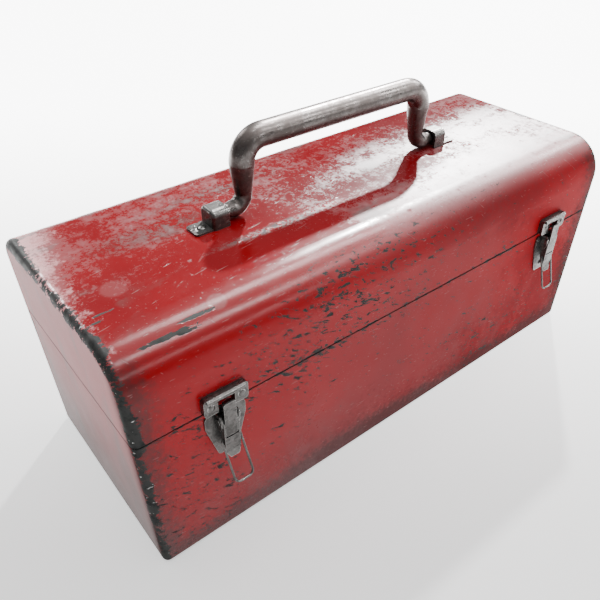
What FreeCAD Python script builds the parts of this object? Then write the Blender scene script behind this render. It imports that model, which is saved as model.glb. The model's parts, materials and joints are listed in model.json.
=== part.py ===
import FreeCAD, Part

import math
import os
import re

import Sketcher
from FreeCAD import Placement, Rotation, Vector

# A pressed-steel toolbox with a hinged lid, a swinging carrying handle, two draw latches and a
# tray that rises out of the base as the lid opens. Millimetres. +X runs along the box to the
# right, +Y to the hinge side, +Z up. The origin is on the floor under the middle of the base.

os.makedirs("parts", exist_ok=True)
doc = FreeCAD.newDocument("toolbox")
sizes = doc.addObject("Spreadsheet::Sheet", "Sizes")

driving_sizes = {
    # box
    "BoxLength": 480.0,         # over the lid's ends
    "BoxDepth": 182.0,
    "BoxHeight": 192.6,
    "EndLean": 6.1,             # each end is this much further in at the floor
    "SeamHeight": 126.5,        # the parting line between base and lid
    "SeamGap": 0.9,
    "SeamRounding": 0.5,
    "FrontTopRadius": 32.5,
    "BackTopRadius": 20.0,
    "CornerRadius": 5.0,        # round the ends and along the bottom
    "SheetThickness": 1.2,
    "EndCapDepth": 7.0,         # how far each end panel's rim turns in along the box
    "FlangeDepth": 9.0,         # hidden lap under the wrap
    "RimClearance": 0.8,        # between the lid and the strip it closes over
    "RimRise": 8.0,
    "RimDrop": 10.0,
    "RimBackStop": 14.0,        # the strip stops this far in front of the back wall
    # back hinge
    "HingeLength": 408.0,
    "KnuckleRadius": 3.2,
    "KnuckleGap": 0.4,          # knuckle to back wall
    "KnuckleSideGap": 0.4,
    "HingePinRadius": 1.5,
    "LeafThickness": 1.2,
    "LeafHeight": 22.0,
    "LeafRelief": 3.0,          # leaf edge to hinge axis, past the other leaf's knuckles
    "RunningClearance": 0.05,
    # rivets
    "RivetRadius": 1.6,
    "RivetHeadRadius": 2.9,
    "RivetHeadHeight": 1.0,
    # carrying handle
    "HandleSetback": 4.5,       # handle plane behind the middle of the box
    "HandlePivotRise": 7.4,     # pivot axis above the lid
    "HandleReach": 49.5,        # pivot axis to grip axis
    "GripRadius": 9.2,
    "GripHalf": 72.0,
    "GripBend": 17.0,
    "FootBend": 10.0,
    "LegEndRadius": 6.4,
    "FootRadius": 5.3,
    "FootTaper": 5.0,
    "BracketStart": 107.0,      # inner face of each bracket from the middle of the box
    "BracketLength": 14.0,
    "BracketWidth": 17.5,
    "BracketHeight": 14.8,
    "BracketRounding": 5.0,
    "BracketEndWall": 3.0,
    "MouthDepth": 5.0,
    "MouthSideWall": 2.1,
    "MouthTopWall": 1.5,
    "BracketFlange": 13.5,
    "BracketFlangeWidth": 15.5,
    "BracketFlangeThickness": 1.6,
    # latches
    "LatchCentre": 175.0,       # from the middle of the box
    "LatchPlateThickness": 1.2,
    "LatchPlateHalf": 15.5,
    "LatchPlateFoot": 7.5,
    "LatchPlateTopDrop": 3.6,   # below the seam
    "LatchPlateHeight": 39.0,
    "LatchPinDrop": 8.5,        # lever pin below the seam
    "LatchPinOut": 4.4,         # lever pin in front of the box
    "LatchPinRadius": 1.4,
    "HookPinDrop": 6.0,         # hook pin below the lever pin
    "HookPinRadius": 1.1,
    "HookHalf": 4.6,
    "HookOut": 2.3,             # back of the hook strip in front of the pins
    "StripThickness": 1.3,
    "HookTop": 16.0,            # above the lever pin
    "HookBottom": 13.0,         # below the lever pin
    "HookNoseDepth": 3.2,
    "HookNoseHeight": 3.0,
    "HookBarrelRadius": 2.1,
    "HookBarrelHalf": 3.0,
    "SideGap": 0.3,             # between the flat sides of hook, lever and ears
    "CheekThickness": 1.0,
    "EarThickness": 1.1,
    "EarFront": 3.0,            # ear in front of the lever pin
    "EarBottom": 8.0,
    "CheekBack": 2.4,
    "LeverPlateTop": 14.5,
    "LeverBottom": 32.0,
    "LeverFlare": 1.6,
    "LeverTipHalf": 3.4,
    "CatchHalf": 16.5,
    "CatchHeight": 14.0,
    "CatchThickness": 4.6,
    "CatchRimHeight": 3.4,
    "CatchRimThickness": 6.1,
    "CatchWindowHalf": 6.3,
    "CatchWindowTop": 9.2,
    "RingWireRadius": 0.8,
    "RingLength": 32.5,
    "RingCorner": 4.0,
    "RingPivotDrop": 17.0,      # below the lever pin
    "RingPivotOut": 1.2,        # in front of the lever pin
    "RingLeanLeft": 26.0,
    "RingLeanRight": 16.0,
    # tray and its parallel links
    "TrayThickness": 1.0,
    "TrayBackGap": 13.4,
    "TrayFrontGap": 11.0,
    "TrayEndGap": 5.7,          # to the base's end panels at the floor
    "TrayTopDrop": 4.5,         # below the seam
    "TrayHeight": 46.0,
    "TrayCorner": 6.0,
    "DividerHeight": 34.0,
    "DividerSetback": 52.0,     # long divider in front of the tray's back
    "LinkLength": 80.0,
    "LinkDroop": 20.0,          # degrees below level when the lid is shut
    "FrontPivotInset": 29.4,    # the front links' tray pivots, behind the tray's front
    "FrontPivotRise": 3.1,      # and above the underside of its floor
    "LinkHalfWidth": 6.0,
    "LinkThickness": 1.5,
    "LinkPinRadius": 2.0,
    "LinkPinHead": 3.4,
    "LinkPinHeadThickness": 0.8,
    "StackGap": 1.5,            # tray to arm, arm to link
    "ArmTopHalf": 9.0,
    "ArmPadRise": 14.0,         # pad on the lid's end, above the seam
    "ArmPadHeight": 24.0,
}

for row, (alias, number) in enumerate(driving_sizes.items(), start=1):
    sizes.set("A%d" % row, alias)
    sizes.set("B%d" % row, str(number))
    sizes.setAlias("B%d" % row, alias)
doc.recompute()


# ---- reading and binding sizes -------------------------------------------------------------

def cells(text):
    """The same expression with every capitalised word read from the sheet."""
    return re.sub(r"\b([A-Z]\w*)", r"Sizes.\1", text)


def value(text):
    return float(sizes.evalExpression(cells(text)))


def bind(item, **expressions):
    for name, text in expressions.items():
        item.setExpression(name.replace("__", "."), cells(text))


def place(item, x="0", y="0", z="0"):
    bind(item, Placement__Base__x=x, Placement__Base__y=y, Placement__Base__z=z)


# Places that several pieces share, written once as expressions of the sheet.
half_length = "BoxLength / 2"
front_y = "-BoxDepth / 2"
back_y = "BoxDepth / 2"
base_top = "(SeamHeight - SeamGap / 2)"
lid_bottom = "(SeamHeight + SeamGap / 2)"
hinge_y = "(BoxDepth / 2 + KnuckleRadius + KnuckleGap)"
hinge_z = "SeamHeight"
pivot_z = "(BoxHeight + HandlePivotRise)"
latch_y = "(-BoxDepth / 2 - LatchPinOut)"
latch_z = "(SeamHeight - LatchPinDrop)"
rear_pivot_y = "(%s - LinkLength * cos(LinkDroop * 1 deg))" % hinge_y
rear_pivot_z = "(SeamHeight - LinkLength * sin(LinkDroop * 1 deg))"
tray_half = "(BoxLength / 2 - EndLean - SheetThickness - TrayEndGap)"
tray_front = "(-BoxDepth / 2 + TrayFrontGap)"
tray_back = "(BoxDepth / 2 - TrayBackGap)"
tray_floor = "(SeamHeight - TrayTopDrop - TrayHeight)"
front_pivot_y = "(%s + FrontPivotInset)" % tray_front
front_pivot_z = "(%s + FrontPivotRise)" % tray_floor
link_base_y = "(%s - %s + %s)" % (hinge_y, rear_pivot_y, front_pivot_y)
link_base_z = "(SeamHeight - %s + %s)" % (rear_pivot_z, front_pivot_z)
arm_x = "(%s + StackGap)" % tray_half
link_x = "(%s + 2 * StackGap + LinkThickness)" % tray_half
beyond = "BoxLength"            # longer than anything that a zone has to cut

nodes = {}


def node(item, label):
    item.Label = label
    nodes[label] = item
    return item


# ---- small builders ------------------------------------------------------------------------

def slab(name, x, y, z):
    """A block between two expressions along each axis."""
    item = doc.addObject("Part::Box", name)
    spans = {"Length": x, "Width": y, "Height": z}
    bind(item, **{side: "(%s) - (%s)" % (ends[1], ends[0]) for side, ends in spans.items()})
    place(item, x[0], y[0], z[0])
    return item


def rod(name, x, y, z, radius):
    """A round bar along X."""
    item = doc.addObject("Part::Cylinder", name)
    item.Placement = Placement(Vector(), Rotation(Vector(0, 1, 0), 90))
    bind(item, Radius=radius, Height="(%s) - (%s)" % (x[1], x[0]))
    place(item, x[0], y, z)
    return item


def boolean(kind, name, items):
    item = doc.addObject("Part::" + kind, name)
    if kind == "Cut":
        item.Base, item.Tool = items
    else:
        item.Shapes = items
    return item


def cut(name, base, tool):
    return boolean("Cut", name, (base, tool))


def fuse(name, *items):
    return boolean("MultiFuse", name, list(items))


def common(name, *items):
    return boolean("MultiCommon", name, list(items))


def mirrored(side, low, high):
    """The same stretch of X on the right, or turned over to the left."""
    if side == "right":
        return (low, high)
    return ("-(%s)" % high, "-(%s)" % low)


def outline(body, name, plane, points, offset="0"):
    """A closed sketch of straight lines whose corners are tied to expressions."""
    sketch = body.newObject("Sketcher::SketchObject", name)
    origin = [item for item in body.Origin.OriginFeatures if item.Role == plane][0]
    sketch.AttachmentSupport = [(origin, "")]
    sketch.MapMode = "FlatFace"
    bind(sketch, AttachmentOffset__Base__z=offset)
    corners = [Vector(value(u), value(v), 0) for u, v in points]
    count = len(corners)
    for index in range(count):
        line = Part.LineSegment(corners[index], corners[(index + 1) % count])
        sketch.addGeometry(line, False)
    for index in range(count):
        following = (index + 1) % count
        sketch.addConstraint(Sketcher.Constraint("Coincident", index, 2, following, 1))
    for index, corner in enumerate(points):
        for kind, text in zip(("DistanceX", "DistanceY"), corner):
            constraint = Sketcher.Constraint(kind, -1, 1, index, 1, value(text))
            number = sketch.addConstraint(constraint)
            sketch.setExpression("Constraints[%d]" % number, cells(text))
    return sketch


def ring_outline(body, name, plane, u, v, radius, offset="0"):
    """A sketch of one circle."""
    sketch = body.newObject("Sketcher::SketchObject", name)
    origin = [item for item in body.Origin.OriginFeatures if item.Role == plane][0]
    sketch.AttachmentSupport = [(origin, "")]
    sketch.MapMode = "FlatFace"
    bind(sketch, AttachmentOffset__Base__z=offset)
    centre = Vector(value(u), value(v), 0)
    sketch.addGeometry(Part.Circle(centre, Vector(0, 0, 1), value(radius)), False)
    entries = (
        (Sketcher.Constraint("DistanceX", -1, 1, 0, 3, value(u)), u),
        (Sketcher.Constraint("DistanceY", -1, 1, 0, 3, value(v)), v),
        (Sketcher.Constraint("Radius", 0, value(radius)), radius),
    )
    for constraint, text in entries:
        number = sketch.addConstraint(constraint)
        sketch.setExpression("Constraints[%d]" % number, cells(text))
    return sketch


def pad(body, sketch, length):
    feature = body.newObject("PartDesign::Pad", sketch.Name + "_pad")
    feature.Profile = sketch
    bind(feature, Length=length)
    doc.recompute()
    return feature


def pocket(body, sketch, depth, backwards=False):
    """Cut a sketch into the body, and make sure that it did cut."""
    before = body.Shape.Volume
    feature = body.newObject("PartDesign::Pocket", sketch.Name + "_pocket")
    feature.Profile = sketch
    feature.Reversed = backwards
    bind(feature, Length=depth)
    doc.recompute()
    if body.Shape.Volume >= before:
        raise RuntimeError("%s cuts nothing" % sketch.Name)
    return feature


def round_edges(body, name, radius, wanted):
    tip = body.Tip
    names = ["Edge%d" % number for number, edge in enumerate(tip.Shape.Edges, start=1)
             if wanted(edge)]
    if not names:
        raise RuntimeError("%s finds no edge" % name)
    feature = body.newObject("PartDesign::Fillet", name)
    feature.Base = (tip, names)
    bind(feature, Radius=radius)
    doc.recompute()
    return feature


def runs_along(edge, axis):
    """Whether a straight edge is parallel to X, Y or Z."""
    if edge.Curve.TypeId != "Part::GeomLine":
        return False
    spread = [edge.BoundBox.XLength, edge.BoundBox.YLength, edge.BoundBox.ZLength]
    return spread["XYZ".index(axis)] > 0.999 * edge.Length


def near(edge, **places):
    """Whether an edge's middle is at the given coordinates."""
    middle = edge.CenterOfMass
    slack = 0.05
    return all(abs(getattr(middle, axis) - place_value) < slack
               for axis, place_value in places.items())


# ---- the box's outer form, and the same form set in by a wall ---------------------------------

def end_reach(inset, level):
    """Half length at a level, set in from the outer face."""
    return "(BoxLength / 2 - EndLean * (1 - (%s) / BoxHeight) - (%s))" % (level, inset)


def leaning_prism(body, name, inset, low, high, y_low, y_high):
    """A block with leaning ends, between two levels."""
    corners = [
        ("-" + end_reach(inset, low), low),
        (end_reach(inset, low), low),
        (end_reach(inset, high), high),
        ("-" + end_reach(inset, high), high),
    ]
    sketch = outline(body, name, "XZ_Plane", corners, offset="-(%s)" % y_high)
    return pad(body, sketch, "(%s) - (%s)" % (y_high, y_low))


def box_form(name, inset="0"):
    """The box as one solid: long rounded top edges and a small radius round each end."""
    body = doc.addObject("PartDesign::Body", name)
    low, high = "(%s)" % inset, "(BoxHeight - (%s))" % inset
    y_low, y_high = "(%s + (%s))" % (front_y, inset), "(%s - (%s))" % (back_y, inset)
    leaning_prism(body, name + "_block", inset, low, high, y_low, y_high)
    top = value(high)
    for label, radius, wall in (("front", "FrontTopRadius", y_low),
                                ("back", "BackTopRadius", y_high)):
        round_edges(body, name + "_top_" + label, "%s - (%s)" % (radius, inset),
                    lambda edge: runs_along(edge, "X") and near(edge, y=value(wall), z=top))
    middle = 0.25 * value("BoxLength")
    round_edges(body, name + "_ends", "CornerRadius - (%s)" % inset,
                lambda edge: abs(edge.CenterOfMass.x) > middle
                or near(edge, z=value(low)))
    return body


def core_zone(name, inset):
    """Everything further from the ends than the inset, with the same lean."""
    body = doc.addObject("PartDesign::Body", name)
    leaning_prism(body, name + "_block", inset, "-CornerRadius", "BoxHeight + CornerRadius",
                  "-BoxDepth", "BoxDepth")
    return body


def level_zone(name, low, high):
    return slab(name, ("-" + beyond, beyond), ("-" + beyond, beyond), (low, high))


def side_zone(side):
    return slab("zone_" + side, mirrored(side, "0", beyond), ("-" + beyond, beyond),
                ("-" + beyond, beyond))


outer_form = box_form("outer_form")
wall_form = box_form("wall_form", "SheetThickness")
flange_form = box_form("flange_form", "2 * SheetThickness")
rim_outer_form = box_form("rim_outer_form", "SheetThickness + RimClearance")
rim_inner_form = box_form("rim_inner_form", "2 * SheetThickness + RimClearance")
arm_pad_form = box_form("arm_pad_form", "SheetThickness + LinkThickness")
wrap_zone = core_zone("wrap_zone", "EndCapDepth")
flange_zone = core_zone("flange_zone", "EndCapDepth + FlangeDepth")
lap_zone = core_zone("lap_zone", "EndCapDepth - SheetThickness")
zones = {side: side_zone(side) for side in ("left", "right")}
box_shell = cut("box_shell", outer_form, wall_form)
flange_ring = cut("flange_ring", common("flange_stretch", wall_form, lap_zone), flange_form)
flange_ends = cut("flange_ends", flange_ring, flange_zone)


def rounded_rim(name, shell, level):
    """The shell with its outer edge at the seam rounded over."""
    doc.recompute()
    reach_x = value(end_reach("0", level)) - value("SheetThickness") / 2
    reach_y = value(back_y) - value("SheetThickness") / 2
    radius = value("SeamRounding")
    edges = []
    for number, edge in enumerate(shell.Shape.Edges, start=1):
        bounds, middle = edge.BoundBox, edge.CenterOfMass
        level_edge = abs(bounds.ZMin - value(level)) < 0.01 and bounds.ZLength < 0.01
        corner = bounds.XLength < value("CornerRadius") + 1 and bounds.YLength < bounds.XLength + 1
        outside = abs(middle.x) > reach_x or abs(middle.y) > reach_y
        outer_corner = corner and abs(bounds.XLength - value("CornerRadius")) < 0.3
        if level_edge and (outside or outer_corner):
            edges.append((number, radius, radius))
    item = doc.addObject("Part::Fillet", name)
    item.Base = shell
    item.Edges = edges
    return item


def make_casing(part, low, high, rim_level, flange_low, flange_high):
    """One half of the box: a wrap sheet and two end panels lapped under it."""
    shell = common(part + "_shell", box_shell, level_zone(part + "_levels", low, high))
    shell = rounded_rim(part + "_rounded_shell", shell, rim_level)
    wrap = common(part + "_wrap_sheet", shell, wrap_zone)
    end_sheets = cut(part + "_end_sheets", shell, wrap_zone)
    laps = common(part + "_laps", flange_ends,
                  level_zone(part + "_lap_levels", flange_low, flange_high))
    for side, zone in zones.items():
        sheet = common("%s_end_sheet_%s" % (part, side), end_sheets, zone)
        lap = common("%s_lap_%s" % (part, side), laps, zone)
        node(fuse("%s_end_panel_%s" % (part, side), sheet, lap), "%s_end_%s" % (part, side))
    return wrap


lap_gap = "SheetThickness"
base_wrap = make_casing("base", "-CornerRadius", base_top, base_top,
                        "-CornerRadius", "SeamHeight - RimDrop - %s" % lap_gap)
lid_wrap = make_casing("lid", lid_bottom, "BoxHeight + CornerRadius", lid_bottom,
                       "SeamHeight + RimRise + 2 * %s" % lap_gap, "BoxHeight + CornerRadius")


# ---- the strip round the base's mouth that the lid closes over --------------------------------

band = common("rim_band", cut("rim_band_ring", wall_form, rim_inner_form),
              level_zone("rim_band_levels", "SeamHeight - RimDrop", base_top))
lip = common("rim_lip", cut("rim_lip_ring", rim_outer_form, rim_inner_form),
             level_zone("rim_lip_levels", base_top, "SeamHeight + RimRise"))
rim_reach = slab("rim_reach", ("-" + beyond, beyond), ("-" + beyond, "%s - RimBackStop" % back_y),
                 ("0", "BoxHeight"))
node(common("rim_strip", fuse("rim_ring", band, lip), rim_reach), "base_rim_strip")


# ---- rivets: a domed head, a shank through the sheets and a flat head behind -------------------

def rivet(at, direction, grip):
    """One rivet whose domed head stands on the point at, with its shank running backwards."""
    head, height = value("RivetHeadRadius"), value("RivetHeadHeight")
    radius = value("RivetRadius")
    dome_radius = (head ** 2 + height ** 2) / (2 * height)
    half_angle = math.asin(head / dome_radius) / 2
    centre = height - dome_radius
    crown = Vector(0, 0, height)
    shoulder = Vector(dome_radius * math.sin(half_angle), 0,
                      centre + dome_radius * math.cos(half_angle))
    edge = Vector(head, 0, 0)
    back = height / 2
    corners = [edge, Vector(radius, 0, 0), Vector(radius, 0, -grip), Vector(head, 0, -grip),
               Vector(head, 0, -grip - back), Vector(0, 0, -grip - back), crown]
    sides = [Part.Arc(crown, shoulder, edge).toShape()]
    sides += [Part.makeLine(start, end) for start, end in zip(corners, corners[1:])]
    solid = Part.Face(Part.Wire(sides)).revolve(Vector(), Vector(0, 0, 1), 360)
    solid.Placement = Placement(at, Rotation(Vector(0, 0, 1), direction))
    return solid


def rivet_hole(at, direction, grip):
    radius = value("RivetRadius + RunningClearance")
    return Part.makeCylinder(radius, 2 * grip + 2, at - direction * (grip + 1), direction)


def rivet_group(label, points, direction, grip):
    """A node of identical rivets, and the object that cuts their holes."""
    group = doc.addObject("Part::Feature", label + "_group")
    group.Shape = Part.makeCompound([rivet(point, direction, grip) for point in points])
    group.Placement = Placement()
    node(group, label)
    holes = doc.addObject("Part::Feature", label + "_holes")
    holes.Shape = Part.makeCompound([rivet_hole(point, direction, grip) for point in points])
    holes.Placement = Placement()
    return holes


# ---- back hinge ---------------------------------------------------------------------------------

knuckle_count = 17
leaf_rivet_count = 7


def knuckle_stretch(index):
    """Where one knuckle starts and ends along the box."""
    low = "(-HingeLength / 2 + %d * HingeLength / %d" % (index, knuckle_count)
    high = "(-HingeLength / 2 + %d * HingeLength / %d" % (index + 1, knuckle_count)
    return low + " + KnuckleSideGap / 2)", high + " - KnuckleSideGap / 2)"


def hinge_leaf(part, first, plate_levels, strap_levels):
    plate_y = (back_y, "%s + LeafThickness" % back_y)
    ends = ("-HingeLength / 2", "HingeLength / 2")
    pieces = [slab(part + "_leaf_plate", ends, plate_y, plate_levels)]
    for index in range(first, knuckle_count, 2):
        stretch = knuckle_stretch(index)
        name = "%s_knuckle_%d" % (part, index)
        barrel = rod(name + "_barrel", stretch, hinge_y, hinge_z, "KnuckleRadius")
        strap = slab(name + "_strap", stretch, plate_y, strap_levels)
        pieces += [barrel, strap]
    solid = fuse(part + "_leaf_solid", *pieces)
    bore = rod(part + "_leaf_bore", ("-HingeLength", "HingeLength"), hinge_y, hinge_z,
               "HingePinRadius + RunningClearance")
    return cut(part + "_leaf_bored", solid, bore)


def spread_along(count, reach):
    """Evenly spaced places from -reach to +reach."""
    return [reach * (2 * index / (count - 1) - 1) for index in range(count)]


def leaf_rivets(label, level):
    y = value(back_y + " + LeafThickness")
    places = [Vector(x, y, value(level))
              for x in spread_along(leaf_rivet_count, value("HingeLength / 2 - LeafHeight"))]
    return rivet_group(label, places, Vector(0, 1, 0), value("LeafThickness + SheetThickness"))


leaf_middle = "(LeafHeight + LeafRelief) / 2"
base_leaf = hinge_leaf("base", 0, ("%s - LeafHeight" % hinge_z, "%s - LeafRelief" % hinge_z),
                       ("%s - LeafRelief" % hinge_z, hinge_z))
lid_leaf = hinge_leaf("lid", 1, ("%s + LeafRelief" % hinge_z, "%s + LeafHeight" % hinge_z),
                      (hinge_z, "%s + LeafRelief" % hinge_z))
base_leaf_holes = leaf_rivets("hinge_rivets_base", "%s - %s" % (hinge_z, leaf_middle))
lid_leaf_holes = leaf_rivets("hinge_rivets_lid", "%s + %s" % (hinge_z, leaf_middle))
node(cut("base_leaf_drilled", base_leaf, base_leaf_holes), "hinge_leaf_base")
node(cut("lid_leaf_drilled", lid_leaf, lid_leaf_holes), "hinge_leaf_lid")

pin_head = "KnuckleRadius / 2"
pin_ends = ("(-HingeLength / 2 + KnuckleSideGap / 2)", "(HingeLength / 2 - KnuckleSideGap / 2)")
pin_pieces = [
    rod("hinge_pin_shank", pin_ends, hinge_y, hinge_z, "HingePinRadius"),
    rod("hinge_pin_left_head", ("%s - %s" % (pin_ends[0], pin_head), pin_ends[0]),
        hinge_y, hinge_z, "KnuckleRadius - KnuckleGap"),
    rod("hinge_pin_right_head", (pin_ends[1], "%s + %s" % (pin_ends[1], pin_head)),
        hinge_y, hinge_z, "KnuckleRadius - KnuckleGap"),
]
node(fuse("hinge_pin_solid", *pin_pieces), "hinge_pin")


# ---- carrying handle: one bar with rounded bends and feet turned outwards ----------------------

leg_x = "(GripHalf + GripBend)"
foot_z = "(%s + FootBend)" % pivot_z
leg_top = "(%s + HandleReach - GripBend)" % pivot_z
foot_start = "(%s + FootBend)" % leg_x
foot_end = "(BracketStart + BracketLength - BracketEndWall - 0.4)"


def quarter_bend(name, x, z, bend, radius, turn):
    """A quarter of a ring in the handle's plane; turn 0 runs from +X up to +Z."""
    item = doc.addObject("Part::Torus", name)
    item.Angle3 = 90
    item.Placement = Placement(Vector(), Rotation(Vector(1, 0, 0), 90)
                               * Rotation(Vector(0, 0, 1), turn))
    bind(item, Radius1=bend, Radius2=radius)
    place(item, x, "HandleSetback", z)
    return item


def cone(name, radius_low, radius_high, length, turn, x, z):
    """A tapered bar in the handle's plane that starts at x, z; turn 0 points it up."""
    item = doc.addObject("Part::Cone", name)
    item.Placement = Placement(Vector(), Rotation(Vector(0, 1, 0), turn))
    bind(item, Radius1=radius_low, Radius2=radius_high, Height=length)
    place(item, x, "HandleSetback", z)
    return item


handle_pieces = [rod("grip_bar", ("-GripHalf", "GripHalf"), "HandleSetback",
                     "%s + HandleReach" % pivot_z, "GripRadius")]
for side, sign, top_turn, foot_turn in (("left", "-", 90, 270), ("right", "", 0, 180)):
    outwards = -90 if side == "left" else 90
    handle_pieces += [
        quarter_bend("grip_bend_" + side, sign + "GripHalf", leg_top, "GripBend", "GripRadius",
                     top_turn),
        cone("leg_" + side, "LegEndRadius", "GripRadius", "%s - %s" % (leg_top, foot_z), 0,
             sign + leg_x, foot_z),
        quarter_bend("foot_bend_" + side, sign + foot_start, foot_z, "FootBend", "LegEndRadius",
                     foot_turn),
        cone("foot_taper_" + side, "LegEndRadius", "FootRadius", "FootTaper", outwards,
             sign + foot_start, pivot_z),
        rod("foot_" + side, mirrored(side, "(%s + FootTaper)" % foot_start, foot_end),
            "HandleSetback", pivot_z, "FootRadius"),
    ]
node(fuse("handle_bar", *handle_pieces), "handle")


# ---- handle brackets: a hood over each foot with a riveted flange ------------------------------

bracket_end = "(BracketStart + BracketLength)"
flange_end = "(%s + BracketFlange)" % bracket_end
bracket_grip = value("BracketFlangeThickness + SheetThickness")
bracket_rivet_points = []


def make_bracket(side):
    body = doc.addObject("PartDesign::Body", "bracket_body_" + side)
    place(body, "0", "HandleSetback", "BoxHeight")
    low, high = mirrored(side, "BracketStart", bracket_end)
    hood = outline(body, "hood_" + side, "YZ_Plane",
                   [("-BracketWidth / 2", "0"), ("BracketWidth / 2", "0"),
                    ("BracketWidth / 2", "BracketHeight"), ("-BracketWidth / 2", "BracketHeight")],
                   offset=low)
    pad(body, hood, "BracketLength")
    height = value("BracketHeight")
    outer_x = value(high if side == "right" else low)
    width = value("BracketWidth / 2")
    round_edges(body, "hood_crown_" + side, "BracketRounding",
                lambda edge: runs_along(edge, "X") and near(edge, z=height))
    round_edges(body, "hood_end_" + side, "BracketRounding / 2",
                lambda edge: abs(edge.CenterOfMass.x - outer_x) < 0.01
                and not near(edge, z=0) and abs(edge.CenterOfMass.y) <= width + 0.01)
    flange_low, flange_high = mirrored(side, bracket_end, flange_end)
    overlap = "BracketRounding"
    if side == "right":
        stretch = ("%s - %s" % (flange_low, overlap), flange_high)
    else:
        stretch = (flange_low, "%s + %s" % (flange_high, overlap))
    flange = outline(body, "flange_" + side, "XY_Plane",
                     [(stretch[0], "-BracketFlangeWidth / 2"), (stretch[1], "-BracketFlangeWidth / 2"),
                      (stretch[1], "BracketFlangeWidth / 2"), (stretch[0], "BracketFlangeWidth / 2")])
    pad(body, flange, "BracketFlangeThickness")
    tip_x = value(flange_high if side == "right" else flange_low)
    round_edges(body, "flange_tip_" + side, "BracketRounding / 2",
                lambda edge: runs_along(edge, "Z") and near(edge, x=tip_x))
    mouth_half = "(BracketWidth / 2 - MouthSideWall)"
    mouth = outline(body, "mouth_" + side, "YZ_Plane",
                    [("-" + mouth_half, "-1"), (mouth_half, "-1"),
                     (mouth_half, "BracketHeight - MouthTopWall - %s / 2" % mouth_half),
                     ("%s / 2" % mouth_half, "BracketHeight - MouthTopWall"),
                     ("-%s / 2" % mouth_half, "BracketHeight - MouthTopWall"),
                     ("-" + mouth_half, "BracketHeight - MouthTopWall - %s / 2" % mouth_half)],
                    offset="BracketStart" if side == "right" else "-BracketStart")
    pocket(body, mouth, "MouthDepth", backwards=(side == "right"))
    bore = ring_outline(body, "bore_" + side, "YZ_Plane", "0", "HandlePivotRise",
                        "FootRadius + RunningClearance",
                        offset="BracketStart" if side == "right" else "-BracketStart")
    pocket(body, bore, "BracketLength - BracketEndWall", backwards=(side == "right"))
    sign = 1 if side == "right" else -1
    points = [Vector(sign * value(bracket_end + " + BracketFlange * %s" % share),
                     value("HandleSetback"), value("BoxHeight + BracketFlangeThickness"))
              for share in ("0.3", "0.75")]
    bracket_rivet_points.extend(points)
    return body


brackets = {side: make_bracket(side) for side in zones}
bracket_holes = rivet_group("handle_bracket_rivets", bracket_rivet_points, Vector(0, 0, 1),
                            bracket_grip)
for side, body in brackets.items():
    node(cut("bracket_drilled_" + side, body, bracket_holes), "handle_bracket_" + side)


# ---- latches: catch on the lid; plate, lever, hook and pull ring on the base -------------------

cheek_in = "(HookHalf + SideGap)"
cheek_out = "(%s + CheekThickness)" % cheek_in
ear_in = "(%s + SideGap)" % cheek_out
ear_out = "(%s + EarThickness)" % ear_in
strip_front = "(HookOut + StripThickness)"
plate_back = "(-LatchPinOut)"
plate_front = "(LatchPlateThickness - LatchPinOut)"
ring_elbow = "(1.5 * RingWireRadius)"
ring_half = "(%s + %s)" % (cheek_out, ring_elbow)


def latch_body(name, centre):
    """A body whose own origin is the lever pin's middle; -Y points out of the box."""
    body = doc.addObject("PartDesign::Body", name)
    place(body, centre, latch_y, latch_z)
    return body


def side_profile(points):
    """Points given as distance out of the box and height, for a sketch on the YZ plane."""
    return [("-(%s)" % out, level) for out, level in points]


def make_latch_plate(side, centre):
    body = latch_body("latch_plate_body_" + side, centre)
    top = "(LatchPinDrop - LatchPlateTopDrop)"
    shoulder = "(%s - LatchPlateHeight * 0.27)" % top
    bottom = "(%s - LatchPlateHeight)" % top
    plate = outline(body, "plate_face_" + side, "XZ_Plane",
                    [("-LatchPlateFoot", bottom), ("LatchPlateFoot", bottom),
                     ("LatchPlateHalf", shoulder), ("LatchPlateHalf", top),
                     ("-LatchPlateHalf", top), ("-LatchPlateHalf", shoulder)],
                    offset=plate_back)
    pad(body, plate, "LatchPlateThickness")
    round_edges(body, "plate_corners_" + side, "LatchPlateFoot / 2.5",
                lambda edge: runs_along(edge, "Y"))
    for ear_side in zones:
        low, high = mirrored(ear_side, ear_in, ear_out)
        ear = outline(body, "ear_%s_%s" % (ear_side, side), "YZ_Plane",
                      side_profile([(plate_front, top), (plate_front, "-EarBottom"),
                                    ("EarFront * 0.4", "-EarBottom"), ("EarFront", "-EarBottom / 2"),
                                    ("EarFront", "%s / 2" % top), ("EarFront / 2", top)]),
                      offset=low)
        pad(body, ear, "EarThickness")
    bore = ring_outline(body, "ear_bore_" + side, "YZ_Plane", "0", "0", "LatchPinRadius",
                        offset="-" + ear_out)
    pocket(body, bore, "2 * " + ear_out, backwards=True)
    return body


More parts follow.
